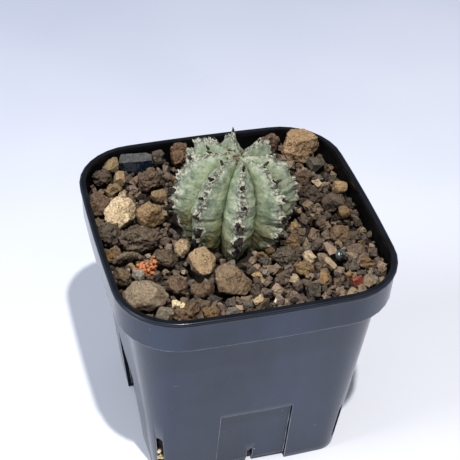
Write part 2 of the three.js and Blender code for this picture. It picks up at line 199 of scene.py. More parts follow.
def stone_material(name, colour, grain, pore_scale, pore_size, dust, contrast):
    """Broken mineral: mottled colour, painted shade in its pores and on its sides, pale dust on
    top, gritty bump.
    """
    material, tree, shader = new_material(name)
    base = linear(colour)
    inputs = {"Grain Scale": grain, "Pore Scale": pore_scale, "Pore Size": pore_size}
    pitted = tree.group(pitted_grain, inputs)
    dimmer, brighter = shaded(base, 1.06 - contrast), shaded(base, 1.06 + contrast)
    mottled = tree.mix(pitted["Mottle"], dimmer, brighter)
    speckled = tree.mix(pitted["Speckle"], shaded(base, 0.3), mottled)
    glints = tree.remap(pitted["Speckle"], 0.65, 1.0, 0.0, 0.5)
    speckled = tree.mix(glints, speckled, shaded(base, 1.7))
    # painted shade: the pores are darkened as the shade inside the holes
    shaded_in_pores = tree.mix(tree.math("MULTIPLY", pitted["Pores"], 0.9), speckled, shaded(base, 0.1))
    dust_and_shade = tree.group(dust_and_side_shade, {"Scale": 700.0, "Dust Amount": dust, "Side Shade Amount": 0.62})
    # painted shade: the sides and undersides are darkened
    side_shade = tree.mix(dust_and_shade["Side Shade"], shaded_in_pores, shaded(base, 0.16))
    tree.feed(shader["Base Color"], tree.mix(dust_and_shade["Dust"], side_shade, DUST))
    tree.feed(shader["Roughness"], tree.remap(pitted["Speckle"], 0.0, 1.0, 0.78, 0.98))
    tree.feed(shader["Normal"], tree.bump(pitted["Height"], GRAIN_BUMP))
    shader["Specular IOR Level"].default_value = 0.2
    return material


def grit_material(name, dark, middle, light):
    """Loose grains: each grain has a tone of its own, between three colours."""
    material, tree, shader = new_material(name)
    base = linear(dark)
    tone = tree.attribute("tone")
    inputs = {"Grain Scale": 1700.0, "Pore Scale": 1300.0, "Pore Size": 0.3}
    pitted = tree.group(pitted_grain, inputs)
    lower = tree.mix(tree.remap(tone, 0.0, 0.5), base, shaded(linear(middle), 1.2))
    grain = tree.mix(tree.remap(tone, 0.5, 1.0), lower, shaded(linear(light), 1.28))
    clouded = tree.remap(pitted["Mottle"], 0.0, 1.0, 0.55, 0.0)
    mottled = tree.mix(clouded, grain, shaded(base, 0.7))
    flecks = tree.remap(pitted["Speckle"], 0.0, 0.6, 0.75, 0.0)
    speckled = tree.mix(flecks, mottled, shaded(base, 0.35))
    # painted shade: the pores are darkened as the shade inside the holes
    porous = tree.mix(pitted["Pores"], speckled, shaded(base, 0.15))
    dust_and_shade = tree.group(dust_and_side_shade, {"Scale": 900.0, "Dust Amount": 0.22, "Side Shade Amount": 0.72})
    # painted shade: the sides and undersides are darkened
    side_shade = tree.mix(dust_and_shade["Side Shade"], porous, shaded(base, 0.22))
    tree.feed(shader["Base Color"], tree.mix(dust_and_shade["Dust"], side_shade, DUST))
    tree.feed(shader["Roughness"], tree.remap(pitted["Speckle"], 0.0, 1.0, 0.75, 0.98))
    tree.feed(shader["Normal"], tree.bump(pitted["Height"], GRAIN_BUMP))
    shader["Specular IOR Level"].default_value = 0.2
    return material


def pot_outside_material():
    """Slate-dark moulded plastic, with a faint moulding grain, dusty specks and a few rubs."""
    material, tree, shader = new_material("slate_pot_plastic")
    place = tree.place()
    clouds = tree.noise(place, 45.0, 3.0)
    streaks = tree.noise(tree.stretched(place, (70.0, 70.0, 9.0)), 1.0, 3.0, 0.5)
    base = tree.mix(tree.remap(clouds, 0.35, 0.65), linear(0x182236), linear(0x202C43))
    flow = tree.math("MULTIPLY", tree.remap(streaks, 0.45, 0.7), 0.5)
    base = tree.mix(flow, base, linear(0x2A3852))
    specks = tree.remap(tree.cells(place, 260.0), 0.045, 0.075, 1.0, 0.0)
    sparse = tree.remap(tree.noise(place, 75.0, 2.0), 0.6, 0.66)
    specks = tree.math("MULTIPLY", specks, sparse)
    rubs = tree.noise(tree.stretched(place, (90.0, 90.0, 900.0)), 1.0, 3.0, 0.7, 0.6)
    rubs = tree.math("MULTIPLY", tree.remap(rubs, 0.70, 0.74), tree.remap(clouds, 0.5, 0.6))
    marks = tree.math("MAXIMUM", specks, tree.math("MULTIPLY", rubs, 0.5), clamp=True)
    tree.feed(shader["Base Color"], tree.mix(marks, base, linear(0xB4B9C4)))
    worn = tree.remap(clouds, 0.3, 0.7, 0.13, 0.22)
    dull = tree.math("MULTIPLY", marks, 0.4)
    tree.feed(shader["Roughness"], tree.math("ADD", worn, dull, clamp=True))
    fine = tree.noise(place, 2200.0, 2.0)
    tree.feed(shader["Normal"], tree.bump(fine, 0.008 * MM, 0.5))
    shader["Specular IOR Level"].default_value = 0.42
    return material


def pot_shaded_bead_material():
    """The rim's smooth bead: the pot's plastic painted near-black as shade, with handling marks."""
    material, tree, shader = new_material("shaded_rim_plastic")
    place = tree.place()
    clouds = tree.noise(place, 120.0, 4.0)
    specks = tree.remap(tree.cells(place, 300.0), 0.05, 0.09, 1.0, 0.0)
    specks = tree.math("MULTIPLY", specks, tree.remap(clouds, 0.58, 0.62))
    # painted shade: the bead's plastic is made far darker than the walls'
    base = tree.mix(tree.remap(clouds, 0.35, 0.65), linear(0x08090C), linear(0x12151B))
    tree.feed(shader["Base Color"], tree.mix(specks, base, linear(0x9BA1AC)))
    tree.feed(shader["Roughness"], tree.remap(clouds, 0.3, 0.7, 0.3, 0.48))
    shader["Specular IOR Level"].default_value = 0.16
    return material


def pot_edge_highlight_material():
    """Moulded edges painted pale and smooth, as highlight lines."""
    material, tree, shader = new_material("edge_highlight_plastic")
    edge_highlight = tree.noise(tree.place(), 160.0, 4.0, 0.65)
    colour = tree.mix(tree.remap(edge_highlight, 0.35, 0.65), linear(0x687083), linear(0xB7BDCA))
    tree.feed(shader["Base Color"], colour)
    tree.feed(shader["Roughness"], tree.remap(edge_highlight, 0.3, 0.7, 0.2, 0.4))
    return material


def pot_shaded_inside_material():
    """The same plastic inside, painted near-black as shade, with damp stains from the mix."""
    material, tree, shader = new_material("shaded_stained_pot_inside")
    place = tree.place()
    stain = tree.noise(tree.stretched(place, (1.0, 1.0, 0.35)), 180.0, 5.0, 0.65)
    # painted shade: far darker than the same plastic outside; the stain noise varies it
    colour = tree.mix(tree.remap(stain, 0.5, 0.8), linear(0x08090B), linear(0x1B1A18))
    tree.feed(shader["Base Color"], colour)
    tree.feed(shader["Roughness"], tree.remap(stain, 0.3, 0.7, 0.45, 0.7))
    tree.feed(shader["Normal"], tree.bump(stain, 0.05 * MM, 0.5))
    shader["Specular IOR Level"].default_value = 0.12
    return material


def mix_material():
    """Dark crumbly growing mix."""
    material, tree, shader = new_material("growing_mix_crumb")
    inputs = {"Grain Scale": 900.0, "Pore Scale": 500.0, "Pore Size": 0.4}
    pitted = tree.group(pitted_grain, inputs)
    crumb = tree.mix(pitted["Mottle"], linear(0x0B0806), linear(0x241B14))
    crumb = tree.mix(tree.math("MULTIPLY", pitted["Speckle"], 0.3), crumb, linear(0x483A2C))
    # painted shade: the pores are darkened near-black as the shade inside the holes
    tree.feed(shader["Base Color"], tree.mix(pitted["Pores"], crumb, linear(0x080605)))
    tree.feed(shader["Normal"], tree.bump(pitted["Height"], 0.5 * MM))
    shader["Roughness"].default_value = 0.95
    return material


def stem_material():
    """Waxy grey-green skin: greener in the grooves, mottled with bloom, corky along the crests,
    cream rings and dark scars at the areoles, and olive-brown cork towards the soil."""
    material, tree, shader = new_material("waxy_ribbed_skin")
    place = tree.place()
    crest = tree.attribute("crest")
    groove = tree.attribute("groove")
    areole = tree.attribute("areole")
    low = tree.attribute("low")
    vein = tree.attribute("vein")
    blotch = tree.noise(place, 210.0, 4.0, 0.6)
    patch = tree.noise(place, 480.0, 5.0, 0.65)
    fine = tree.noise(place, 1100.0, 5.0, 0.7)

    skin = tree.mix(tree.remap(blotch, 0.35, 0.62), linear(0x667462), linear(0x959D8A))
    skin = tree.mix(tree.remap(patch, 0.5, 0.68, 0.0, 0.6), skin, linear(0xB4BBA4))
    skin = tree.mix(tree.remap(patch, 0.3, 0.48, 0.85, 0.0), skin, linear(0x465D4C))
    skin = tree.mix(tree.remap(vein, 0.5, 1.0, 0.0, 0.4), skin, linear(0xB5B99C))
    faded = tree.remap(fine, 0.3, 0.65, 0.8, 0.2)
    greener = tree.math("MULTIPLY", tree.remap(groove, 0.35, 0.95), faded)
    skin = tree.mix(greener, skin, linear(0x72814F))
    # painted shade: the bottoms of the grooves are darkened
    skin = tree.mix(tree.remap(groove, 0.91, 1.0, 0.0, 0.9), skin, linear(0x26331E))
    olive = tree.math("MULTIPLY", low, tree.remap(blotch, 0.4, 0.55))
    skin = tree.mix(tree.math("MULTIPLY", olive, 0.85), skin, linear(0x87824A))
    brown = tree.math("MULTIPLY", tree.remap(low, 0.35, 1.0), tree.remap(patch, 0.42, 0.56))
    skin = tree.mix(tree.math("MULTIPLY", brown, 0.9), skin, linear(0x3E3327))

    cork = tree.mix(tree.remap(fine, 0.42, 0.54), linear(0x5E5C50), linear(0xA6A998))
    cork = tree.mix(tree.remap(patch, 0.54, 0.66, 0.0, 0.8), cork, linear(0xC2C3B2))
    cork = tree.mix(tree.remap(patch, 0.37, 0.44, 0.9, 0.0), cork, linear(0x2E2720))
    cracks = tree.cells(tree.stretched(place, (1.0, 1.0, 1.6)), 620.0, "DISTANCE_TO_EDGE")
    cracks = tree.remap(cracks, 0.03, 0.12, 0.85, 0.0)
    cracks = tree.math("MULTIPLY", cracks, tree.remap(blotch, 0.4, 0.5))
    cork = tree.mix(cracks, cork, linear(0x2A241D))
    ragged = tree.math("ADD", crest, tree.math("MULTIPLY", tree.math("SUBTRACT", patch, 0.5), 1.5))
    skin = tree.mix(tree.remap(ragged, 0.34, 0.62, 0.0, 0.92), skin, cork)
    edge = tree.math("ADD", areole, tree.math("MULTIPLY", tree.math("SUBTRACT", patch, 0.5), 1.6))
    skin = tree.mix(tree.remap(edge, 0.3, 0.42), skin, linear(0xBAB8A6))
    scab = tree.mix(tree.remap(fine, 0.42, 0.56), linear(0x0B0807), linear(0x2A2019))
    skin = tree.mix(tree.remap(edge, 0.46, 0.6), skin, scab)

    tree.feed(shader["Base Color"], skin)
    tree.feed(shader["Roughness"], tree.remap(patch, 0.3, 0.7, 0.55, 0.8))
    height = tree.math("ADD", fine, tree.math("MULTIPLY", patch, 1.5))
    tree.feed(shader["Normal"], tree.bump(height, 0.45 * MM))
    shader["Subsurface Weight"].default_value = 0.06
    shader["Subsurface Radius"].default_value = (0.6, 1.0, 0.4)
    shader["Subsurface Scale"].default_value = 0.8 * MM
    shader["Specular IOR Level"].default_value = 0.3
    return material


def husk_material(name, dark, light):
    """Dry plant fibre: streaky along its length."""
    material, tree, shader = new_material(name)
    place = tree.place()
    fibre = tree.noise(tree.stretched(place, (1.0, 1.0, 0.4)), 1800.0, 5.0, 0.7)
    colour = tree.mix(tree.remap(fibre, 0.4, 0.68), linear(dark), linear(light))
    tree.feed(shader["Base Color"], colour)
    tree.feed(shader["Roughness"], tree.remap(fibre, 0.3, 0.7, 0.7, 0.95))
    tree.feed(shader["Normal"], tree.bump(fibre, 0.12 * MM))
    return material


def glass_material(name, dark, light):
    """Dark glassy slag: clouded, with a clean gloss."""
    material, tree, shader = new_material(name)
    clouds = tree.noise(tree.place(), 700.0, 5.0)
    colour = tree.mix(tree.remap(clouds, 0.4, 0.7), linear(dark), linear(light))
    tree.feed(shader["Base Color"], colour)
    tree.feed(shader["Roughness"], tree.remap(clouds, 0.4, 0.7, 0.06, 0.3))
    shader["Coat Weight"].default_value = 0.6
    shader["Coat Roughness"].default_value = 0.05
    return material


# ---- mesh helpers ----

def copy_of(*names):
    """The solids of CAD nodes in one bmesh, with their doubled vertices merged."""
    bm = bmesh.new()
    for name in names:
        bm.from_mesh(nodes[name].data)
    bmesh.ops.remove_doubles(bm, verts=bm.verts, dist=0.001 * MM)
    return bm


def refine(bm, longest):
    """Splits edges until none is longer than the limit."""
    for _ in range(8):
        bmesh.ops.triangulate(bm, faces=bm.faces)
        long_edges = [edge for edge in bm.edges if edge.calc_length() > longest]
        if not long_edges:
            return
        bmesh.ops.subdivide_edges(bm, edges=long_edges, cuts=1, use_single_edge=True)
    bmesh.ops.triangulate(bm, faces=bm.faces)


def smooth(bm, rounds):
    every_way = {"use_axis_x": True, "use_axis_y": True, "use_axis_z": True}
    for _ in range(rounds):
        bmesh.ops.smooth_vert(bm, verts=bm.verts, factor=0.5, **every_way)


def roughen(bm, size, height, offset=Vector(), octaves=3):
    """Moves the skin in and out by noise with bumps of the given size."""
    bm.normal_update()
    moves = []
    for vert in bm.verts:
        wave = noise.fractal(vert.co / size + offset, 0.9, 2.1, octaves)
        moves.append(vert.normal * (wave * height))
    for vert, move in zip(bm.verts, moves):
        vert.co += move


def pit(bm, spacing, radius, depth, offset=Vector()):
    """Sinks round pores into the skin, one for most cells of the given spacing."""
    bm.normal_update()
    moves = []
    for vert in bm.verts:
        place = vert.co / spacing + offset
        distance = noise.voronoi(place)[0][0] * spacing
        patch = noise.noise(place * 0.35 + offset)
        share = max(0.0, 1.0 - (distance / radius) ** 2) if patch > -0.15 else 0.0
        moves.append(vert.normal * (-depth * share))
    for vert, move in zip(bm.verts, moves):
        vert.co += move


def ease(bm, edges, width):
    """Rounds edges off, and gives the new faces."""
    return bmesh.ops.bevel(bm, geom=edges, offset=width, offset_type="OFFSET", segments=2,
                           profile=0.5, affect="EDGES", clamp_overlap=True, material=-1)["faces"]


def break_off(bm, place, slope):
    """Breaks off what lies beyond a plane, and gives the flat faces that close the break."""
    parts = [*bm.verts, *bm.edges, *bm.faces]
    cut = bmesh.ops.bisect_plane(bm, geom=parts, plane_co=place, plane_no=slope,
                                 clear_outer=True)["geom_cut"]
    rim = [part for part in cut if isinstance(part, bmesh.types.BMEdge)]
    return bmesh.ops.holes_fill(bm, edges=rim, sides=0)["faces"]


def middle_of(bm):
    return sum((vert.co for vert in bm.verts), Vector()) / len(bm.verts)


def break_faces(bm, dice, count, least, most, growth):
    """Swells a stone a little, then breaks flat faces off it at random slopes, each at a share
    of its reach on that slope."""
    middle = middle_of(bm)
    about_middle = Matrix.Translation(-middle)
    bmesh.ops.scale(bm, vec=(growth, growth, growth), space=about_middle, verts=bm.verts)
    for _ in range(count):
        slope = Vector([dice.gauss(0, 1) for _ in range(3)]).normalized()
        reach = max(slope.dot(vert.co - middle) for vert in bm.verts)
        break_off(bm, middle + slope * reach * dice.uniform(least, most), slope)


def random_turn(dice):
    return Quaternion([dice.gauss(0, 1) for _ in range(4)]).normalized().to_matrix().to_4x4()


def finish_piece(bm, name, materials, replaced=(), smooth_shaded=True, sharp_angle=None):
    """Makes the bmesh a piece of the object: it rides with the pot."""
    if sharp_angle is not None:
        for edge in bm.edges:
            edge.smooth = edge.calc_face_angle(0.0) < math.radians(sharp_angle)
    mesh = bpy.data.meshes.new(name)
    for face in bm.faces:
        face.smooth = smooth_shaded
    bm.to_mesh(mesh)
    bm.free()
    for material in materials:
        mesh.materials.append(material)
    piece = bpy.data.objects.new(name, mesh)
    bpy.context.scene.collection.objects.link(piece)
    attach(piece, "root")
    if replaced:
        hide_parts(*replaced)
    return piece


# ---- pot ----

RIM_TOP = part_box("pot")[1].z
MIX_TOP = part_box("growing_mix")[1].z

OUTSIDE, BEAD, EDGE, INSIDE = range(4)
POT_FINISHES = [pot_outside_material, pot_shaded_bead_material, pot_edge_highlight_material, pot_shaded_inside_material]
BEAD_BOTTOM = RIM_TOP - 1.6 * MM
FLOOR_TOP = 3.6 * MM
FLAT_ANGLE = math.radians(0.4)  # faces that meet at less than this are one face
SHARP_ANGLE = math.radians(25)  # edges that are sharper than this are eased
EDGE_WIDTH = 0.26 * MM  # how wide an eased edge is
# Heights and distances from the middle (mm) where the walls are cut into plain fields, so that
# their shading stays even between the bends.
POT_RINGS = (2.6, 10.5, 28.6, 31.5, 50.0, 67.5, 71.0, 79.2)
POT_PANEL_CUTS = (2.4, 11.0, 13.4)


def pot_finish(face):
    """Which finish a face of the pot has: stained inside, near-black on the bead, slate outside."""
    middle = face.calc_center_median()
    if middle.z > BEAD_BOTTOM - 0.1 * MM:
        return BEAD
    inwards = face.normal.x * middle.x + face.normal.y * middle.y < 0
    return INSIDE if inwards and middle.z > FLOOR_TOP else OUTSIDE


def make_pot():
    """The moulding, with its sharp edges eased as a mould leaves them and painted pale outside as
    highlight lines.
    """
    bm = copy_of("pot")
    bmesh.ops.dissolve_limit(bm, angle_limit=FLAT_ANGLE, verts=bm.verts, edges=bm.edges)
    folds = [edge for edge in bm.edges if edge.is_manifold]
    eased = ease(bm, [edge for edge in folds if edge.calc_face_angle() > SHARP_ANGLE], EDGE_WIDTH)
    bm.normal_update()
    for face in bm.faces:
        face.material_index = pot_finish(face)
    for face in eased:
        middle = face.calc_center_median()
        outwards = face.normal.x * middle.x + face.normal.y * middle.y > 0
        # painted highlight: eased edges outside take the pale edge finish
        if face.material_index == OUTSIDE:
            face.material_index = EDGE
        # painted highlight: the bead's outer eased edges take the lighter slate finish, a thin
        # light line
        elif face.material_index == BEAD and outwards:
            face.material_index = OUTSIDE
    cuts = [(2, height) for height in POT_RINGS]
    cuts += [(axis, side * away) for axis in (0, 1) for side in (-1, 1) for away in POT_PANEL_CUTS]
    for axis, place in cuts:
        across = Vector([float(i == axis) for i in range(3)])
        bmesh.ops.bisect_plane(bm, geom=[*bm.verts, *bm.edges, *bm.faces], plane_no=across,
                               plane_co=across * place * MM)
    bmesh.ops.dissolve_degenerate(bm, dist=0.01 * MM, edges=bm.edges)
    materials = [make() for make in POT_FINISHES]
    finish_piece(bm, "moulded_slit_pot", materials, ["pot"], sharp_angle=40)


make_pot()


# ---- plant ----

STEM_RADIUS = 19.9 * MM
STEM_MIDDLE = Vector((0.8 * MM, 3.4 * MM, MIX_TOP + 11.8 * MM))
LEAN_BEARING = math.radians(35)
STEM_LEAN = Quaternion((-math.sin(LEAN_BEARING), math.cos(LEAN_BEARING), 0), math.radians(6.5))
RIB_BEARINGS = [-102, -57, -12, 38, 88, 130, 171, 218]  # front rib first, going round
GROOVE_DEPTH = 6.2 * MM
AREOLE_SPACING = 17.5  # degrees along a crest
FIRST_AREOLE = 12
TOOTH_HEIGHT = 1.3 * MM
CROWN_DIP = 4.4 * MM
CROWN_SPREAD = 24
ROOT_LENGTH = 9 * MM
ROOT_SPREAD = 24
# Where a rib stands up in a peak beside the crown: its height, how far down it is and how far it
# reaches along the crest (degrees), how thin it is, and how far its flanks are hollowed.
PEAKS = {3: (1.8 * MM, 36, 14, 1.6, 0.4 * MM), 4: (3.6 * MM, 31, 12, 2.4, 1.9 * MM),
         5: (2.7 * MM, 42, 22, 1.2, 0.0), 6: (1.2 * MM, 44, 20, 1.4, 0.0)}
NO_PEAK = (0.0, 30, 13, 1.5, 0.0)


def bearing_of(ribs):
    """The bearing of a place counted in ribs: 0 is the first crest, 0.5 the groove after it."""
    count = len(RIB_BEARINGS)
    rib = math.floor(ribs) % count
    after = RIB_BEARINGS[rib + 1] if rib + 1 < count else RIB_BEARINGS[0] + 360
    share = ribs - math.floor(ribs)
    return math.radians(RIB_BEARINGS[rib] * (1 - share) + after * share)


def bell(value, middle, width):
    return math.exp(-((value - middle) / width) ** 2)


def stem_relief(down, ribs):
    """How far the skin is from the plant's middle, and the masks that colour it there."""
    degrees_down = math.degrees(down)
    rib = math.floor(ribs + 0.5)
    number = rib % len(RIB_BEARINGS)
    wobble = 0.26 * noise.fractal(Vector((degrees_down / 14, number * 3.7, 0.0)), 0.8, 2.0, 3)
    aside = 2 * (ribs - rib)
    from_crest = min(1.0, abs(aside + wobble * (1 - abs(aside))))
    around = Vector((math.cos(ribs * math.pi / 4), math.sin(ribs * math.pi / 4), degrees_down / 58))
    relief = abs(math.sin(down)) ** 0.8
    phase = (degrees_down - FIRST_AREOLE) / AREOLE_SPACING
    tooth = 0.7 * TOOTH_HEIGHT * math.cos(2 * math.pi * phase) * (1 - from_crest) ** 2.5
    tooth *= 0.5 if number == 5 else 1.0
    dip = CROWN_DIP * bell(degrees_down, 0, CROWN_SPREAD)
    root = ROOT_LENGTH * bell(degrees_down, 180, ROOT_SPREAD)
    height, place, length, thinness, hollow = PEAKS.get(number, NO_PEAK)
    peak = height * max(0.0, 1 - thinness * from_crest) - hollow * 4 * from_crest * (1 - from_crest)
    peak *= bell(degrees_down, place, length)

    crest = max(0.0, 1 - from_crest / 0.5) * min(1.0, max(0.0, (degrees_down - 6) / 14))
    along = Vector((degrees_down / 3.6, number * 5.1, from_crest * 3.0))
    ragged = noise.fractal(along, 0.4, 2.1, 4)
    across = Vector((degrees_down / 5.5 + from_crest * 2, number * 4.3 + aside * 2.2, 7.0))
    streaks = noise.fractal(across, 0.8, 2.0, 3)
    lumps = noise.fractal(around * 5, 0.9, 2.0, 3)
    nearest = round(phase)
    off_crest = (aside + wobble) * 7.6
    off_areole = math.hypot((phase - nearest) * 5.2, off_crest)  # mm from the areole's middle
    scarred = 0 <= nearest <= 6
    size = 0.95 + 0.3 * noise.noise(Vector((nearest * 2.3, number * 1.9, 0.5)))
    size += 0.55 * max(0, nearest - 3)
    areole = bell(off_areole, 0, size) if scarred else 0.0
    scar = 0.7 * MM * bell(off_areole, 0.9, 0.45) - 0.4 * MM * bell(off_areole, 0, 0.4)
    groove = GROOVE_DEPTH * (0.5 * from_crest + 0.5 * from_crest ** 2.2)

    reach = STEM_RADIUS - dip + root + (tooth + peak - groove) * relief
    reach += relief * crest ** 1.6 * ragged * 1.6 * MM
    reach += relief * (streaks * (1 - crest) * 0.2 + lumps * 0.8) * MM
    reach += scar * relief if scarred else 0.0
    low = min(1.0, max(0.0, (degrees_down - 78) / 36))
    return reach, {"crest": crest, "groove": from_crest, "areole": areole, "low": low,
                   "vein": min(1.0, max(0.0, 0.5 + 0.6 * streaks))}


def stem_point(down, ribs, reach):
    bearing = bearing_of(ribs)
    across = math.sin(down)
    direction = Vector((across * math.cos(bearing), across * math.sin(bearing), math.cos(down)))
    return STEM_LEAN @ (direction * reach) + STEM_MIDDLE


def make_stem():
    """A ball whose every point is set at its reach from the plant's middle."""
    bm = bmesh.new()
    bmesh.ops.create_uvsphere(bm, u_segments=320, v_segments=190, radius=1.0)
    names = ("crest", "groove", "areole", "low", "vein")
    masks = {name: bm.verts.layers.float.new(name) for name in names}
    count = len(RIB_BEARINGS)
    for vert in bm.verts:
        down = math.acos(max(-1.0, min(1.0, vert.co.z)))
        ribs = (math.atan2(vert.co.y, vert.co.x) / (2 * math.pi) * count) % count
        reach, colours = stem_relief(down, ribs)
        vert.co = stem_point(down, ribs, reach)
        for name, value in colours.items():
            vert[masks[name]] = value
    finish_piece(bm, "ribbed_stem", [stem_material()], ["euphorbia_stem"])


make_stem()


# ---- dry stalks and crumbs ----

def make_stalks():
    """Broken flower stalks: bent, split and torn at the tip."""
    material = husk_material("dead_stalk_fibre", 0x120C09, 0x4A3629)
    for name in sorted(n for n in nodes if n.startswith("dry_stalk_")):
        bm = copy_of(name)
        refine(bm, 0.28 * MM)
        smooth(bm, 1)
        offset = Vector((0, 0, 7.3 * int(name.rsplit("_", 1)[1])))
        roughen(bm, 0.5 * MM, 0.22 * MM, offset)
        finish_piece(bm, name.replace("dry_stalk", "torn_stalk"), [material], [name])


def make_crown_crumbs():
    """Brown crumbs of dead flowers, caught where the ribs meet."""
    dice = random.Random(17)
    bm = bmesh.new()
    for _ in range(26):
        down, ribs = math.radians(dice.uniform(1, 16)), dice.uniform(0, 8)
        place = stem_point(down, ribs, stem_relief(down, ribs)[0] + 0.15 * MM)
        turn = random_turn(dice)
        size = [dice.uniform(0.5, 1.5), dice.uniform(0.3, 0.7), dice.uniform(0.2, 0.5)]
        matrix = Matrix.Translation(place) @ turn @ Matrix.Diagonal([*size, 1.0])
        bmesh.ops.create_cube(bm, size=1.0 * MM, matrix=matrix)
    bmesh.ops.subdivide_edges(bm, edges=bm.edges, cuts=2, smooth=0.4, use_grid_fill=True)
    roughen(bm, 0.6 * MM, 0.25 * MM)
    material = husk_material("dead_flower_crumb", 0x2C2118, 0x9A8668)
    finish_piece(bm, "crown_crumbs", [material])


make_stalks()
make_crown_crumbs()


# ---- stones ----

# Each stone's colour and how it broke: "pumice" is finely porous, "pebble" is worn round,
# "scoria" is rough and full of pits, "lava" is lumpy, "block" is squared, "chip" is angular and
# nearly smooth.
STONES = {
    "pumice_cream": (0xF0D5AC, "pumice"), "pumice_sandy": (0xA0835F, "pumice"),
    "pumice_by_stem": (0xB79B76, "block"), "pumice_small": (0x9A8060, "pumice"),
    "block_tan": (0x96805F, "block"), "pebble_tan": (0x8C7350, "pumice"),
    "chip_tan": (0x8D7653, "lava"), "tan_by_stem": (0xB39A78, "pumice"),
    "tan_front_right": (0x846A48, "lava"), "stone_back_right": (0xA98B68, "lava"),
    "stone_front_left": (0x9A8871, "pebble"), "stone_olive": (0x8A7E6C, "chip"),
    "wedge_front": (0x8C755C, "pumice"), "sliver_peach": (0xB4956D, "chip"),
    "lava_left_rim": (0x6D5646, "lava"), "lava_left_dark": (0x5C5147, "scoria"),
    "scoria_rough": (0x66584A, "scoria"), "lava_left_low": (0x6B5843, "lava"),
    "lava_front_rim": (0x745B44, "scoria"), "lava_middle_left": (0x5F4F3F, "lava"),
    "lava_left_front": (0x6F5A48, "lava"), "lava_front": (0x6A5440, "lava"),
    "lava_back_left": (0x54463A, "scoria"), "lava_back_large": (0x665243, "scoria"),
    "lava_back_rim": (0x735743, "lava"), "lava_back_middle": (0x6D5545, "lava"),
    "lava_right_back": (0x62503F, "lava"), "lava_right_dark": (0x4C4038, "scoria"),
    "lava_by_stem": (0x7B6249, "lava"), "lava_right_front": (0x79624A, "lava"),
    "ochre_porous": (0x83673F, "scoria"), "ochre_front_rim": (0x7A5F3E, "lava"),
    "ochre_wedge": (0xA68D6C, "chip"),
    "chip_grey_green": (0x9E9587, "pebble"), "pebble_round": (0x5E564C, "pebble"),
    "flat_chip": (0x625C50, "chip"), "stone_mauve": (0x6C5C52, "pumice"),
    "grey_by_stem": (0x5C5348, "scoria"), "sliver_mauve": (0x756253, "chip"),
    "chip_red": (0x96493A, "chip"),
}

# How each kind breaks: how many flat faces, how deep they cut, how far it swells first, rounds of
# smoothing, size and height of its lumps (mm), spacing, radius and depth of its pits (mm), and the
# grain, pores, contrast and dust of its finish.
BREAKS = {
    "pumice": {"faces": (9, 0.62, 0.86, 1.22), "rounds": 2, "lump": (2.0, 0.45),
        "pits": (1.0, 0.36, 0.3), "grain": 1700.0, "pores": (1300.0, 0.34),
        "contrast": 0.25, "dust": 0.2},
    "scoria": {"faces": (6, 0.66, 0.9, 1.18), "rounds": 1, "lump": (1.5, 0.9),
        "pits": (1.2, 0.55, 0.6), "grain": 1200.0, "pores": (1000.0, 0.42),
        "contrast": 0.4, "dust": 0.2},
    "lava": {"faces": (8, 0.62, 0.86, 1.22), "rounds": 1, "lump": (1.8, 0.6),
        "pits": (1.1, 0.4, 0.35), "grain": 1400.0, "pores": (1200.0, 0.36),
        "contrast": 0.35, "dust": 0.2},
    "pebble": {"faces": (5, 0.78, 0.92, 1.12), "rounds": 5, "lump": (2.2, 0.45),
        "pits": (1.0, 0.36, 0.25), "grain": 1700.0, "pores": (1300.0, 0.32),
        "contrast": 0.25, "dust": 0.2},
    "block": {"faces": (14, 0.56, 0.74, 1.34), "rounds": 0, "lump": (2.4, 0.35),
        "pits": (1.1, 0.34, 0.22), "grain": 1700.0, "pores": (1300.0, 0.34),
        "contrast": 0.25, "dust": 0.2},
    "chip": {"faces": (10, 0.6, 0.84, 1.22), "rounds": 0, "lump": (3.0, 0.25),
        "pits": (1.6, 0.3, 0.08), "grain": 1600.0, "pores": (1500.0, 0.22),
        "contrast": 0.25, "dust": 0.15},
}


def make_stone(name, number, colour, kind):
    how = BREAKS[kind]
    offset = Vector((number * 3.1, number * 1.7, number * 5.3))
    bm = copy_of(name)
    break_faces(bm, random.Random(number), *how["faces"])
    refine(bm, 0.45 * MM)
    smooth(bm, how["rounds"])
    size, height = how["lump"]
    roughen(bm, size * MM, height * MM, offset, octaves=4)
    spacing, radius, depth = how["pits"]
    pit(bm, spacing * MM, radius * MM, depth * MM, offset)
    pore_scale, pore_size = how["pores"]
    material = stone_material(f"{kind}_{name}", colour, how["grain"], pore_scale, pore_size,
                              how["dust"], how["contrast"])
    finish_piece(bm, f"broken_{name}", [material], [name])


for number, (name, (colour, kind)) in enumerate(STONES.items()):
    make_stone(name, number, colour, kind)


def make_glassy_chip():
    """A grey chip whose front broke as one smooth, dark blue face."""
    bm = copy_of("chip_grey")
    dice = random.Random(8)
    break_faces(bm, dice, 5, 0.7, 0.9, 1.3)
    middle = middle_of(bm)
    about_middle = Matrix.Translation(-middle)
    bmesh.ops.scale(bm, vec=(1.3, 1.3, 1.0), space=about_middle, verts=bm.verts)
    # The slope of each break, how far it is from the middle (mm), and its finish.
    breaks = (((-0.1, -0.35, 0.93), 1.5, 0), ((-0.15, -0.9, 0.42), 1.4, 1))
    for slope, away, finish in breaks:
        slope = Vector(slope)
        slope.normalize()
        for face in break_off(bm, middle + slope * away * MM, slope):
            face.material_index = finish
    ease(bm, bm.edges, 0.15 * MM)
    bmesh.ops.dissolve_degenerate(bm, dist=0.02 * MM, edges=bm.edges)
    refine(bm, 0.5 * MM)
    roughen(bm, 2.6 * MM, 0.1 * MM)
    materials = [stone_material("matt_grey_chip", 0x4A4E54, 1600.0, 1500.0, 0.22, 0.2, 0.25),
                 glass_material("blue_black_glass", 0x070B12, 0x131D2B)]
    finish_piece(bm, "glassy_grey_chip", materials, ["chip_grey"])


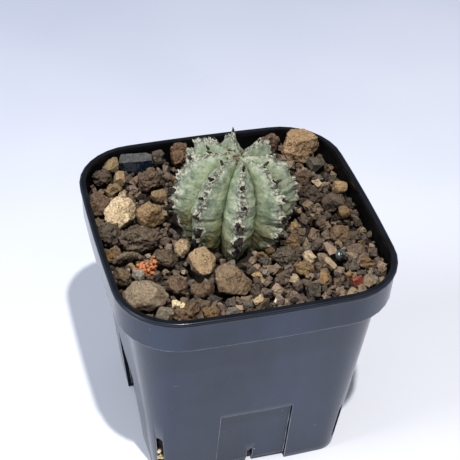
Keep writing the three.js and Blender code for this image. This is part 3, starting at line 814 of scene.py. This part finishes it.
def make_coral_crumb():
    """An orange crumb: a clump of little knobs."""
    low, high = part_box("coral_crumb")
    dice = random.Random(5)
    bm = bmesh.new()
    for _ in range(120):
        share = [dice.random() for _ in range(3)]
        place = Vector([low[i] + (high[i] - low[i]) * (0.08 + 0.84 * share[i]) for i in range(3)])
        place.z = low.z + (high.z - low.z) * share[2] * (0.35 + 0.65 * share[0])
        bmesh.ops.create_icosphere(bm, subdivisions=2, radius=dice.uniform(0.32, 0.72) * MM,
                                   matrix=Matrix.Translation(place))
    roughen(bm, 0.8 * MM, 0.3 * MM)
    material = stone_material("orange_crumb_finish", 0xE58F5E, 1500.0, 1000.0, 0.4, 0.2, 0.4)
    finish_piece(bm, "knobbly_coral_crumb", [material], ["coral_crumb"])


def make_bead():
    """A round bead of slag that stands clear of the grit."""
    low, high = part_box("bead_glassy")
    bm = bmesh.new()
    middle = Vector(((low.x + high.x) / 2, (low.y + high.y) / 2, high.z - 0.3 * MM))
    bmesh.ops.create_uvsphere(bm, u_segments=40, v_segments=24, radius=1.75 * MM,
                              matrix=Matrix.Translation(middle))
    roughen(bm, 2.0 * MM, 0.12 * MM)
    material = glass_material("dark_slag_glass", 0x101416, 0x5A625F)
    finish_piece(bm, "round_glass_bead", [material], ["bead_glassy"])


def make_root_scrap():
    """A dead root that arches over the stones: a tapered rod spun along an arc."""
    low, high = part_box("root_scrap")
    bm = bmesh.new()
    length = high.x - low.x + 1.5 * MM
    foot = Vector((low.x, (low.y + high.y) / 2, low.z + 2.0 * MM))
    matrix = Matrix.Translation(foot) @ Matrix.Rotation(math.radians(20), 4, "Y")
    bmesh.ops.create_circle(bm, cap_ends=True, segments=10, radius=0.8 * MM, matrix=matrix)
    centre = foot + Vector((length / 2, 0, -length * 0.28))
    bmesh.ops.spin(bm, geom=bm.faces, cent=centre, axis=(0, 1, 0), dvec=(0, 0, 0),
                   angle=math.radians(120), steps=18, use_duplicate=False)
    bmesh.ops.remove_doubles(bm, verts=bm.verts, dist=0.01 * MM)
    bmesh.ops.recalc_face_normals(bm, faces=bm.faces)
    refine(bm, 0.4 * MM)
    roughen(bm, 0.9 * MM, 0.35 * MM)
    material = husk_material("dead_root_bark", 0x3C3026, 0x86745F)
    finish_piece(bm, "arched_root_scrap", [material], ["root_scrap"])


make_glassy_chip()
make_coral_crumb()
make_bead()
make_root_scrap()


# ---- growing mix and grit ----

MIX_SUNK = 1.2 * MM  # how far the mix lies under its CAD top, to leave room for the grit


def make_mix():
    """The bed of mix: crumbly on top, and sunk a little between the stones."""
    bm = copy_of("growing_mix")
    refine(bm, 3.0 * MM)
    for vert in bm.verts:
        if vert.co.z > MIX_TOP - 0.1 * MM:
            vert.co.z -= MIX_SUNK
    roughen(bm, 2.5 * MM, 0.25 * MM)
    finish_piece(bm, "crumbly_mix", [mix_material()], ["growing_mix"])


CELL = 0.5 * MM  # spacing of the map of heights
MAP_HALF = 88  # cells from the middle of the map to its edge


def height_map():
    """How high the stones, plant and pot stand over each cell, and where the mix lies open."""
    bm = copy_of(*sorted(nodes))
    tree = BVHTree.FromBMesh(bm)
    bm.free()
    size = 2 * MAP_HALF + 1
    heights = np.full((size, size), 1.0)
    for i in range(size):
        for j in range(size):
            start = Vector(((i - MAP_HALF) * CELL, (j - MAP_HALF) * CELL, 2 * RIM_TOP))
            hit = tree.ray_cast(start, Vector((0, 0, -1)))[0]
            heights[i, j] = hit.z if hit and hit.z > MIX_TOP - MM else 1.0
    return heights


def add_grain(bm, middle, radius, dice, tone_layer, tone):
    """One grain: a block knocked out of shape at each corner."""
    turn = random_turn(dice)
    stretch = [dice.uniform(0.85, 1.35), dice.uniform(0.75, 1.1), dice.uniform(0.6, 0.9)]
    matrix = Matrix.Translation(middle) @ turn @ Matrix.Diagonal([*stretch, 1.0])
    corners = bmesh.ops.create_cube(bm, size=1.4 * radius)["verts"]
    for corner in corners:
        corner.co *= dice.uniform(0.6, 1.25)
        corner[tone_layer] = tone
    bmesh.ops.transform(bm, matrix=matrix, verts=corners)


# Each kind of grit: its slot, three tones and its share of the grains.
GRITS = {
    "brown": ("lava_brown", 0x40352D, 0x695A4E, 0x947E6A, 0.36),
    "tan": ("pumice_tan", 0x5C4E40, 0x8A7761, 0xBAA485, 0.27),
    "grey": ("stone_grey", 0x3B3733, 0x605A52, 0x8A8276, 0.13),
    "mauve": ("stone_mauve", 0x423733, 0x695A53, 0x907C72, 0.14),
    "ochre": ("stone_ochre", 0x6A5236, 0x927552, 0xB4966A, 0.04),
    "dark": ("lava_dark", 0x211D1A, 0x35302B, 0x4C443C, 0.06),
    "pale": ("pumice_pale", 0xB59C72, 0xDCC89E, 0xF0E6CE, 0.0),
}
# Grains go in from large to small: how many drops are tried, and the smallest and largest radius.
SIZES = [(1500, 1.9, 2.9), (3200, 1.3, 1.9), (1300, 0.8, 1.3)]
# Bright grains that lie on top, or in the pot's slits: kind, place and radius (mm), tone. A grain
# without a height rests on what is under it.
BRIGHT = [("pale", -26.7, -33.4, None, 1.5, 0.6), ("pale", 2.6, -37.0, None, 0.8, 1.0),
          ("pale", -2.5, -36.3, None, 1.6, 0.1), ("ochre", 0.4, -24.6, None, 1.4, 1.0),
          ("pale", -21.0, 35.6, None, 1.3, 1.0), ("ochre", 18.6, -5.4, None, 1.7, 0.9),
          ("pale", -25.3, -34.6, None, 0.9, 0.4), ("tan", 33.0, 14.0, None, 1.8, 1.0),
          ("tan", -31.0, 24.0, None, 1.9, 0.9), ("pale", -30.2, -28.3, 11.4, 1.7, 0.7),
          ("pale", -29.9, -28.0, 8.6, 1.7, 0.3), ("pale", 0.3, -29.6, 6.4, 1.9, 0.3)]


def rest_height(heights, i, j, radius):
    """The map around a spot, which cells a grain covers there, and the height that it rests at."""
    reach = int(radius / CELL) + 1
    window = heights[i - reach:i + reach + 1, j - reach:j + reach + 1]
    if window.shape != (2 * reach + 1, 2 * reach + 1):
        return None
    offsets = np.arange(-reach, reach + 1) * CELL
    squared = offsets[:, None] ** 2 + offsets[None, :] ** 2
    covered = squared <= radius ** 2
    under = window[covered]
    if under.max() > RIM_TOP - 1.0 * MM or under.max() - under.min() > 1.5 * radius + 1.2 * MM:
        return None
    rest = 0.45 * under.max() + 0.55 * under.mean() + 0.4 * radius
    cap = rest + 0.75 * np.sqrt(np.maximum(radius ** 2 - squared, 0))
    return window, covered, cap, rest


def make_grit():
    """Grains dropped one by one where the dressing is lowest, so that they fill its gaps: coarse
    and sparse on the left, finer and fuller on the right."""
    dice = random.Random(41)
    heights = height_map()
    open_cells = np.argwhere(heights < RIM_TOP - 2 * MM)
    kinds = list(GRITS)
    shares = [GRITS[kind][4] for kind in kinds]
    batches = {}
    for kind in kinds:
        for cuts in (3, 1):
            bm = bmesh.new()
            batches[kind, cuts] = (bm, bm.verts.layers.float.new("tone"))

    def put(kind, place, radius, tone):
        bm, tone_layer = batches[kind, 3 if radius > 1.5 * MM else 1]
        add_grain(bm, place, radius, dice, tone_layer, tone)

    for drops, smallest, largest in SIZES:
        for _ in range(drops):
            spots = [open_cells[dice.randrange(len(open_cells))] for _ in range(3)]
            i, j = min(spots, key=lambda spot: heights[spot[0], spot[1]])
            x, y = (i - MAP_HALF) * CELL, (j - MAP_HALF) * CELL
            right = min(1.0, max(0.0, (x - 0.6 * y + 10 * MM) / (24 * MM)))
            radius = dice.uniform(smallest, largest) * (1.0 - 0.12 * right) * MM
            found = rest_height(heights, i, j, radius)
            by_wall = min(1.0, max(0.0, (x - 30 * MM) / (6 * MM))) if y > -20 * MM else 0.0
            limit = MIX_TOP + (2.1 + 2.7 * right - 2.6 * by_wall) * MM
            if not found or found[3] + 0.7 * radius > limit:
                continue
            window, covered, cap, rest = found
            tone = dice.random() * min(1.0, radius / (1.4 * MM))
            put(dice.choices(kinds, shares)[0], Vector((x, y, rest)), radius, tone)
            window[covered] = np.maximum(window, cap)[covered]
    for kind, x, y, z, radius, tone in BRIGHT:
        under = heights[round(x * MM / CELL) + MAP_HALF, round(y * MM / CELL) + MAP_HALF]
        height = under + 0.5 * radius * MM if z is None else z * MM
        put(kind, Vector((x * MM, y * MM, height)), radius * MM, tone)

    for kind in kinds:
        slot, dark, middle_tone, light, _ = GRITS[kind]
        material = grit_material(f"{kind}_grit_finish", dark, middle_tone, light)
        for cuts, size in ((3, "lumps"), (1, "grit")):
            bm, _ = batches[kind, cuts]
            bmesh.ops.subdivide_edges(bm, edges=bm.edges, cuts=cuts, smooth=0.12,
                                      use_grid_fill=True)
            lump, height = (1.1, 0.5) if cuts == 3 else (0.8, 0.3)
            roughen(bm, lump * MM, height * MM)
            if bm.verts:
                finish_piece(bm, f"{kind}_{size}", [material], smooth_shaded=False)


make_mix()
make_grit()


# ---- floor, light and camera ----

def make_floor():
    material, tree, shader = new_material("pale_floor")
    place = tree.place()
    # painted shade: the floor darkens and turns bluer towards the back, with a faint cloudy tint
    far = tree.remap(tree.add("ShaderNodeSeparateXYZ", {0: place}).outputs["Y"], -0.1, 0.4)
    far_shade_and_cloud = tree.math("ADD", far, tree.math("MULTIPLY", tree.noise(place, 7.0, 2.0), 0.3))
    colour = tree.mix(tree.remap(far_shade_and_cloud, 0.1, 1.2), linear(0xECEEF5), linear(0x99A2BC))
    tree.feed(shader["Base Color"], colour)
    shader["Roughness"].default_value = 0.9
    shader["Specular IOR Level"].default_value = 0.1
    bm = bmesh.new()
    bmesh.ops.create_grid(bm, x_segments=4, y_segments=4, size=3.0)
    mesh = bpy.data.meshes.new("floor")
    bm.to_mesh(mesh)
    bm.free()
    mesh.materials.append(material)
    floor = bpy.data.objects.new("floor", mesh)
    bpy.context.scene.collection.objects.link(floor)


def make_light():
    """A small soft lamp in front and high up, a broad one to the left, and pale light all round."""
    # Each lamp's name, size (m), power (W), colour, direction from the rim and distance (m).
    lamps = [("key_lamp", 0.032, 12.8, (1.0, 0.97, 0.92), (-0.032, -0.382, 0.92), 1.1),
             ("left_softbox", 0.6, 9.6, (0.93, 0.96, 1.0), (-0.80, -0.05, 0.62), 1.2)]
    for name, size, energy, colour, towards, distance in lamps:
        lamp = bpy.data.lights.new(name, "AREA")
        lamp.shape = "DISK"
        lamp.size = size
        lamp.energy = energy
        lamp.color = colour
        light = bpy.data.objects.new(name, lamp)
        towards = Vector(towards).normalized()
        light.location = Vector((0, 0, RIM_TOP)) + towards * distance
        light.rotation_euler = towards.to_track_quat("Z", "Y").to_euler()
        bpy.context.scene.collection.objects.link(light)
    world = bpy.data.worlds.new("pale_surroundings")
    world.use_nodes = True
    world.node_tree.nodes["Background"].inputs["Color"].default_value = (0.88, 0.92, 1.0, 1.0)
    world.node_tree.nodes["Background"].inputs["Strength"].default_value = 0.38
    bpy.context.scene.world = world


def make_camera():
    data = bpy.data.cameras.new("camera")
    data.lens = 104.5
    data.sensor_width = 36.0
    camera = bpy.data.objects.new("camera", data)
    place = Vector((-99.21, -311.25, 347.81)) * MM
    right = Vector((0.96268, -0.26755, 0.04090))
    up = Vector((0.14100, 0.62475, 0.76799))
    back = right.cross(up)
    turn = Matrix((right, up, back)).transposed().to_4x4()
    camera.matrix_world = Matrix.Translation(place) @ turn
    bpy.context.scene.collection.objects.link(camera)
    bpy.context.scene.camera = camera


make_floor()
make_light()
make_camera()
bpy.context.scene.view_settings.view_transform = "Standard"
